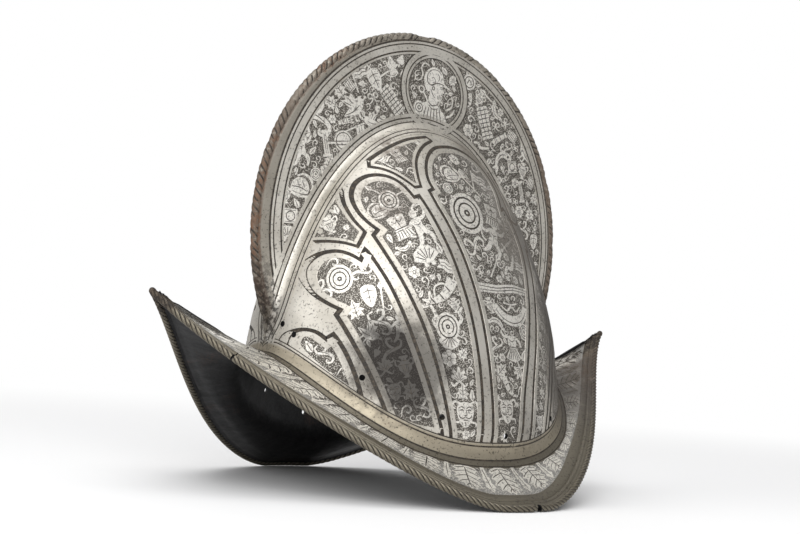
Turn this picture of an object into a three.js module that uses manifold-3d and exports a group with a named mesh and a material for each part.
// Comb morion: a steel helmet raised from one plate. Skull, tall comb and boat-shaped
// brim are one hollow wall, open below, with the comb's crest and the brim's edge
// thickened into rounded beads. Millimetres, +Z up, +X to the front peak, +Y to the
// wearer's left. The origin is on the ground under the middle of the helmet.

import * as THREE from 'three';
import { mergeVertices } from 'three/addons/utils/BufferGeometryUtils.js';
import Module from 'manifold-3d';

// ---------------------------------------------------------------- driving dimensions

const WALL = 1.4;                // plate thickness

const SKULL_HALF_LENGTH = 104.5; // at the level of greatest width
const SKULL_HALF_WIDTH = 88;
const SKULL_LEVEL = 40;          // height of the greatest width above the ground
const SKULL_RISE = 180;          // from that level to the comb's root at the top
const SKULL_X = 2;               // centre of the skull along the helmet
const ALMOND = 1.37;             // 2 would be a round arch from the front, less is pointed

const COMB_X = 4;                // centre of the comb's elliptical outline
const COMB_Z = 152.5;
const COMB_HALF_LENGTH = 118;
const COMB_HALF_HEIGHT = 126;
const COMB_ROOT = 6;             // half thickness where the comb leaves the skull
const COMB_LIP = 1.9;            // half thickness just below the crest bead
const CREST_BEAD = 2.8;          // radius of the bead along the crest
const ROOT_FILLET = 5;           // hollow curve between skull and comb
const FOOT_BLEND = 3;            // how softly the comb runs out at its two feet

const BRIM_HALF_LENGTH = 175;    // tip to tip is twice this
const BRIM_HALF_WIDTH = 122.5;
const BRIM_BEAD = 2.4;           // radius of the turned edge
const BRIM_FLAT = 16;            // half the level stretch that touches the ground
const BRIM_STAND = 2.2;          // height of the bead's centre line over that stretch
const TIP_RISE = { front: 103.5, rear: 105.5 }; // height of the two peaks
const TIP_SWEEP = 1.51;          // how the edge climbs towards the peaks
const BRIM_FULLNESS = 1.87;      // plan outline: rounder at the sides
const BRIM_POINT = 1.3;          // plan outline: sharper at the peaks
const BRIM_SAG = 0.05;           // hollow of the brim, as a share of its breadth
const FOOT_WEAR = 0.5;           // bead lower than this is worn level where it stands

// A nick broken out of the brim's edge, near the middle of the right side.
const NICK = { turn: 88, width: 2.6, depth: 4.5 };

const BASE_LEVEL = 25.3;         // where the skull meets the brim at the sides
const BASE_RISE = { front: 49, rear: 51 };      // how far that line climbs to the peaks
const BASE_SWEEP = 2.54;
const COVE = 7;                  // hollow curve between skull and brim
const COVE_SHARE = 0.4;          // most of the skull's height that the cove may take

// Holes for the lining rivets and, at the rear, for the plume holder.
// turn is in degrees from the front, rise is the height above the brim line.
const HOLE_RADIUS = 1.7;
const HOLES = [
  ...[58, 86, 110, 136].map((turn) => ({ side: -1, turn, rise: turn > 100 ? 19 : 13 })),
  ...[71, 97, 119, 143].map((turn) => ({ side: 1, turn, rise: turn > 100 ? 19 : 13 })),
  { side: -1, turn: 164, rise: 16 }, { side: -1, turn: 172, rise: 18 },
  { side: 1, turn: 157, rise: 33 }, { side: 1, turn: 163, rise: 31 },
];
const DRILL_REACH = 9;           // half length of the drill that makes each hole
const DRILL_SIDES = 10;

// Mesh density
const COLUMNS = 42;              // stations from the front peak to the rear peak
const BRIM_ROWS = [0, 0.25, 0.5, 0.75, 1];              // bead to cove
const COVE_ROWS = [0.33, 0.67];                         // inside the cove
const SKULL_ROWS = [0, 0.12, 0.25, 0.38, 0.51, 0.64, 0.76, 0.86, 0.93, 0.97, 1];
const COMB_ROWS = [0.35, 0.7, 1];                       // root to crest bead
const CREST_TURNS = [125, 80, 40, 0];                   // degrees round the crest bead
const EDGE_TURNS = [150, 110, 65, 20, -27, -77, -135];  // degrees round the brim bead

// ---------------------------------------------------------------- shape of the helmet

const RADIANS = Math.PI / 180;
const ARC_SAMPLES = 900;
const bow = (value, power) => Math.abs(value) ** power;
const mix = (a, b, t) => a + (b - a) * t;

// The skull's measures at a height given as a share of its rise: 0 at the greatest width.
const riseAt = (z) => (z - SKULL_LEVEL) / SKULL_RISE;
const lengthAt = (rise) => SKULL_HALF_LENGTH * Math.sqrt(Math.max(1e-9, 1 - rise * rise));
const widthAt = (rise) => (
  (SKULL_HALF_WIDTH - COMB_ROOT) * Math.max(0, 1 - bow(rise, ALMOND)) ** (1 / ALMOND));

// A line that runs from the front to the rear of the helmet along one side.
class ShellLine extends THREE.Curve {
  constructor(place) {
    super();
    this.place = place;
    this.arcLengthDivisions = ARC_SAMPLES;
  }

  getPoint(t, target = new THREE.Vector3()) {
    return target.copy(this.place(t * Math.PI));
  }
}

// How far the comb stands out from the skull's ridge, at height z, front or rear.
function combReach(z, front) {
  const x = SKULL_X + (front ? 1 : -1) * lengthAt(riseAt(z));
  const out = ridgeNormal(x, z);
  const px = (x - COMB_X) / COMB_HALF_LENGTH, pz = (z - COMB_Z) / COMB_HALF_HEIGHT;
  const dx = out.x / COMB_HALF_LENGTH, dz = out.z / COMB_HALF_HEIGHT;
  const a = dx * dx + dz * dz, b = px * dx + pz * dz, c = px * px + pz * pz - 1;
  const gap = b * b - a * c;
  const reach = gap > 0 ? (-b + Math.sqrt(gap)) / a : -2 * FOOT_BLEND;
  return (reach + Math.hypot(reach, FOOT_BLEND)) / 2;
}

// Outward direction of the skull's ridge line, in the plane of the comb.
function ridgeNormal(x, z) {
  return new THREE.Vector3(
    (x - SKULL_X) / SKULL_HALF_LENGTH ** 2, 0, (z - SKULL_LEVEL) / SKULL_RISE ** 2,
  ).normalize();
}

const rootHalf = (reach) => COMB_ROOT * reach / (reach + COMB_ROOT / 2);
const rootFillet = (reach) => ROOT_FILLET * reach / (reach + COMB_ROOT);

// The skull's left side at (x, z) of the side view, with the comb's root curve added.
function skullPoint(x, z, onRidge = false) {
  const rise = riseAt(z);
  const reach = combReach(z, x > SKULL_X);
  const root = rootHalf(reach);
  const across = (x - SKULL_X) / lengthAt(rise);
  const width = widthAt(rise);
  const beyond = onRidge ? 0 : width * Math.sqrt(Math.max(0, 1 - across * across));
  const share = Math.min(1, beyond / rootFillet(reach));
  const lift = rootFillet(reach) * (1 - Math.sqrt(1 - (1 - share) ** 2));
  const full = beyond > 0 ? beyond / width : 0;
  const point = new THREE.Vector3(x, root + beyond + (COMB_ROOT - root) * full, z);
  return point.addScaledVector(ridgeNormal(x, z), lift);
}

// The skull's lowest line, where the brim turns out.
function basePlace(turn) {
  const c = Math.cos(turn);
  const z = BASE_LEVEL + (c > 0 ? BASE_RISE.front : BASE_RISE.rear) * bow(c, BASE_SWEEP);
  const root = rootHalf(combReach(z, c > 0));
  return new THREE.Vector3(
    SKULL_X + lengthAt(riseAt(z)) * c,
    mix(root, COMB_ROOT, Math.sin(turn)) + widthAt(riseAt(z)) * Math.sin(turn), z,
  );
}

// Centre line of the brim's bead.
function edgePlace(turn) {
  const c = Math.cos(turn);
  const run = BRIM_HALF_LENGTH - BRIM_BEAD;
  const climb = Math.max(0, (Math.abs(c) * run - BRIM_FLAT) / (run - BRIM_FLAT));
  const tip = (c > 0 ? TIP_RISE.front : TIP_RISE.rear) - BRIM_STAND;
  return new THREE.Vector3(
    run * c,
    (BRIM_HALF_WIDTH - BRIM_BEAD) * Math.max(0, 1 - bow(c, BRIM_FULLNESS)) ** BRIM_POINT,
    BRIM_STAND + tip * climb ** TIP_SWEEP,
  );
}

const endLevel = (end) => BASE_LEVEL + BASE_RISE[end];
const ridgeTurn = (end) => Math.asin(riseAt(endLevel(end)));

// The skull's ridge line under the comb.
function ridgePlace(turn) {
  const k = mix(ridgeTurn('front'), Math.PI - ridgeTurn('rear'), turn / Math.PI);
  return new THREE.Vector3(
    SKULL_X + SKULL_HALF_LENGTH * Math.cos(k), 0, SKULL_LEVEL + SKULL_RISE * Math.sin(k),
  );
}

const baseLine = new ShellLine(basePlace);
const edgeLine = new ShellLine(edgePlace);
const ridgeLine = new ShellLine(ridgePlace);

// One station of the helmet's left side: outer points from the underside of the brim's
// bead up to the crest, and how many of them are bead at each end.
function station(s) {
  const atTip = s === 0 || s === 1;
  const base = baseLine.getPointAt(s);
  const edge = edgeLine.getPointAt(s);
  const ridge = ridgeLine.getPointAt(s);
  const reach = combReach(ridge.z, ridge.x > SKULL_X);
  const out = ridgeNormal(ridge.x, ridge.z);

  // frame across the bead: outwards in the brim, and up out of it
  const along = atTip ? new THREE.Vector3(0, s === 0 ? 1 : -1, 0) : edgeLine.getTangentAt(s);
  const outward = edge.clone().sub(base);
  outward.addScaledVector(along, -outward.dot(along)).normalize();
  const up = new THREE.Vector3().crossVectors(along, outward).negate();
  if (up.z < 0) up.negate();

  const bead = EDGE_TURNS.map((degrees) => edge.clone()
    .addScaledVector(outward, BRIM_BEAD * Math.cos(degrees * RADIANS))
    .addScaledVector(up, BRIM_BEAD * Math.sin(degrees * RADIANS))).reverse();
  // where the helmet stands, the underside of the bead is worn to one level face
  if (edge.z === BRIM_STAND) bead.filter(({ z }) => z < FOOT_WEAR).forEach((point) => point.setZ(0));

  // the brim, with a slight hollow, up to where the cove starts
  const lip = edge.clone().addScaledVector(up, WALL / 2).addScaledVector(outward, -BRIM_BEAD);
  const breadth = lip.distanceTo(base);
  const hollow = lip.clone().lerp(base, 0.5).addScaledVector(up, -BRIM_SAG * 2 * breadth);
  const brimAt = (t) => new THREE.QuadraticBezierCurve3(lip, hollow, base).getPoint(t);
  const coveStart = 1 - COVE / breadth;
  const brim = BRIM_ROWS.map((row) => brimAt(row * coveStart));

  // the skull, from the top of the cove to the comb's root
  const upSkull = (row) => {
    const t = Math.sin(row * Math.PI / 2);
    return skullPoint(mix(base.x, ridge.x, t), mix(base.z, ridge.z, t), row === 1);
  };
  const height = ridge.distanceTo(new THREE.Vector3(base.x, 0, base.z));
  const coveTop = Math.asin(Math.min(COVE_SHARE, COVE / height)) / (Math.PI / 2);
  const skull = SKULL_ROWS.map((row) => upSkull(mix(coveTop, 1, row)));
  const cove = COVE_ROWS.map((row) => (
    new THREE.QuadraticBezierCurve3(brim[brim.length - 1], base, skull[0]).getPoint(row)));

  // the comb, from its root to the bead along its crest
  const beadSize = CREST_BEAD * reach / (reach + COMB_ROOT / 2);
  const root = rootHalf(reach), foot = rootFillet(reach);
  const lipHalf = Math.min(COMB_LIP, root * 0.6);
  const neck = Math.max(foot, reach - 1.75 * beadSize);
  const comb = COMB_ROWS.map((row) => ridge.clone()
    .addScaledVector(out, mix(foot, neck, row))
    .setY(mix(root, lipHalf, row)));
  const crest = CREST_TURNS.map((degrees) => ridge.clone()
    .addScaledVector(out, reach - beadSize + beadSize * Math.cos(degrees * RADIANS))
    .setY(beadSize * Math.sin(degrees * RADIANS)));

  // at the two ends of the helmet the skull and comb close to one point
  if (atTip) [...skull, ...comb, ...crest].forEach((point) => point.copy(base));
  const points = [...bead, ...brim, ...cove, ...skull, ...comb, ...crest];
  if (atTip) points.forEach((point) => point.setY(0));
  points[points.length - 1].setY(0);
  return points;
}

// ---------------------------------------------------------------- wall from the shape

const stations = Array.from({ length: COLUMNS + 1 }, (_, i) => station(i / COLUMNS));
const INNER_FIRST = EDGE_TURNS.length;                     // skips the brim's bead
const INNER_LAST = stations[0].length - CREST_TURNS.length - 1; // skips the crest's bead
const SKULL_FIRST = INNER_FIRST + BRIM_ROWS.length + COVE_ROWS.length;

// Normals of the outer skin, averaged over the faces round each point.
function skinNormals(skin) {
  const normals = skin.map((column) => column.map(() => new THREE.Vector3()));
  for (let i = 0; i < COLUMNS; i += 1) {
    for (let j = 0; j + 1 < skin[i].length; j += 1) {
      const ring = [[i, j], [i + 1, j], [i + 1, j + 1], [i, j + 1]];
      const [a, b, c, d] = ring.map(([m, n]) => skin[m][n]);
      const face = new THREE.Vector3().crossVectors(c.clone().sub(a), d.clone().sub(b));
      ring.forEach(([m, n]) => normals[m][n].add(face));
    }
  }
  for (const column of [normals[0], normals[COLUMNS]]) {
    const closed = column.slice(SKULL_FIRST);
    const sum = closed.reduce((total, normal) => total.add(normal), new THREE.Vector3());
    closed.forEach((normal) => normal.copy(sum));
    column.forEach((normal) => normal.setY(0));
  }
  normals.flat().forEach((normal) => normal.normalize());
  return normals;
}

// The lining side: the outer skin moved in by the plate's thickness.
function innerSkin(skin) {
  const normals = skinNormals(skin);
  return skin.map((column, i) => column.slice(INNER_FIRST, INNER_LAST + 1).map((point, n) => {
    const inner = point.clone().addScaledVector(normals[i][n + INNER_FIRST], -WALL);
    const free = i === 0 || i === COLUMNS ? 0 : Math.min(0.35, point.y / 2);
    return inner.setY(Math.max(free, inner.y));
  }));
}

// Triangles of one skin on both sides of the helmet; flip turns the faces over.
function addSkin(skin, faces, flip) {
  for (const side of [1, -1]) {
    const at = (point) => new THREE.Vector3(point.x, point.y * side, point.z);
    for (let i = 0; i + 1 < skin.length; i += 1) {
      for (let j = 0; j + 1 < skin[i].length; j += 1) {
        const quad = [skin[i][j], skin[i + 1][j], skin[i + 1][j + 1], skin[i][j + 1]].map(at);
        addQuad(faces, (side > 0) === flip ? quad.reverse() : quad);
      }
    }
  }
}

// Two triangles, split along the shorter diagonal.
function addQuad(faces, [a, b, c, d]) {
  const halves = a.distanceTo(c) < b.distanceTo(d) ? [a, b, c, a, c, d] : [a, b, d, b, c, d];
  halves.forEach((point) => faces.push(...point.toArray()));
}

// Joins points that coincide and drops the triangles that have closed up.
function weld(geometry) {
  const welded = mergeVertices(geometry, 1e-3);
  const index = welded.index.array;
  const kept = [];
  for (let i = 0; i < index.length; i += 3) {
    const [a, b, c] = index.subarray(i, i + 3);
    if (a !== b && b !== c && c !== a) kept.push(a, b, c);
  }
  return welded.setIndex(kept);
}

function shellGeometry() {
  const faces = [];
  const inner = innerSkin(stations);
  addSkin(stations, faces, false);
  addSkin(inner, faces, true);
  // close the wall under the brim's bead and across the hollow of the comb
  addSkin(stations.map((column, i) => [inner[i][0], column[0]]), faces, false);
  addSkin(inner.map((column) => {
    const top = column[column.length - 1];
    return [top, top.clone().setY(0)];
  }), faces, true);
  const geometry = new THREE.BufferGeometry();
  geometry.setAttribute('position', new THREE.Float32BufferAttribute(faces, 3));
  return weld(geometry);
}

// ---------------------------------------------------------------- drilled holes

const wasm = await Module();
wasm.setup();

function toSolid(geometry) {
  const plain = geometry.clone();
  plain.deleteAttribute('normal');
  plain.deleteAttribute('uv');
  const merged = mergeVertices(plain, 1e-4);
  return new wasm.Manifold(new wasm.Mesh({
    numProp: 3,
    vertProperties: new Float32Array(merged.attributes.position.array),
    triVerts: new Uint32Array(merged.index.array),
  }));
}

function toGeometry(solid) {
  const mesh = solid.getMesh();
  const geometry = new THREE.BufferGeometry();
  geometry.setAttribute('position', new THREE.BufferAttribute(mesh.vertProperties, 3));
  geometry.setIndex(new THREE.BufferAttribute(mesh.triVerts, 1));
  return geometry;
}

// A drill standing square to the skull's wall at one hole.
function drill({ side, turn, rise }) {
  const above = (degrees, height) => {
    const foot = basePlace(degrees * RADIANS);
    const z = foot.z + height;
    return skullPoint(SKULL_X + lengthAt(riseAt(z)) * Math.cos(degrees * RADIANS), z);
  };
  const centre = above(turn, rise);
  const across = above(turn + 1, rise).sub(above(turn - 1, rise));
  const upward = above(turn, rise + 1).sub(above(turn, rise - 1));
  const normal = new THREE.Vector3().crossVectors(across, upward).normalize();
  const mirror = new THREE.Vector3(1, side, 1);
  const bit = new THREE.CylinderGeometry(HOLE_RADIUS, HOLE_RADIUS, 2 * DRILL_REACH, DRILL_SIDES);
  bit.applyQuaternion(new THREE.Quaternion().setFromUnitVectors(
    new THREE.Vector3(0, 1, 0), normal.multiply(mirror),
  ));
  const place = centre.multiply(mirror);
  return bit.translate(place.x, place.y, place.z);
}

// A wedge that stands square to the brim's edge where the nick is.
function nickCutter() {
  const toRight = new THREE.Vector3(1, -1, 1);
  const edge = edgePlace(NICK.turn * RADIANS).multiply(toRight);
  const next = edgePlace((NICK.turn + 1) * RADIANS).multiply(toRight);
  const along = next.sub(edge).normalize();
  const outward = new THREE.Vector3(edge.x, edge.y, 0).normalize();
  outward.addScaledVector(along, -outward.dot(along)).normalize();
  const up = new THREE.Vector3().crossVectors(outward, along);
  const outline = new THREE.Shape([
    new THREE.Vector2(BRIM_BEAD - NICK.depth, 0),
    new THREE.Vector2(2 * BRIM_BEAD, -NICK.width),
    new THREE.Vector2(2 * BRIM_BEAD, NICK.width),
  ]);
  const wedge = new THREE.ExtrudeGeometry(outline, { depth: 4 * BRIM_BEAD, bevelEnabled: false });
  wedge.translate(0, 0, -2 * BRIM_BEAD);
  return wedge.applyMatrix4(new THREE.Matrix4().makeBasis(outward, along, up).setPosition(edge));
}

function finishedShell() {
  const cuts = [...HOLES.map(drill), nickCutter()].map(toSolid);
  return toGeometry(cuts.reduce((solid, cut) => solid.subtract(cut), toSolid(shellGeometry())));
}

// ---------------------------------------------------------------- the helmet

const steel = new THREE.MeshStandardMaterial({ color: 0x8f8a80, metalness: 0.9, roughness: 0.45 });

const helmetShell = new THREE.Mesh(finishedShell(), steel);
helmetShell.name = 'helmet_shell';

const helmet = new THREE.Group();
helmet.add(helmetShell);

export default helmet;
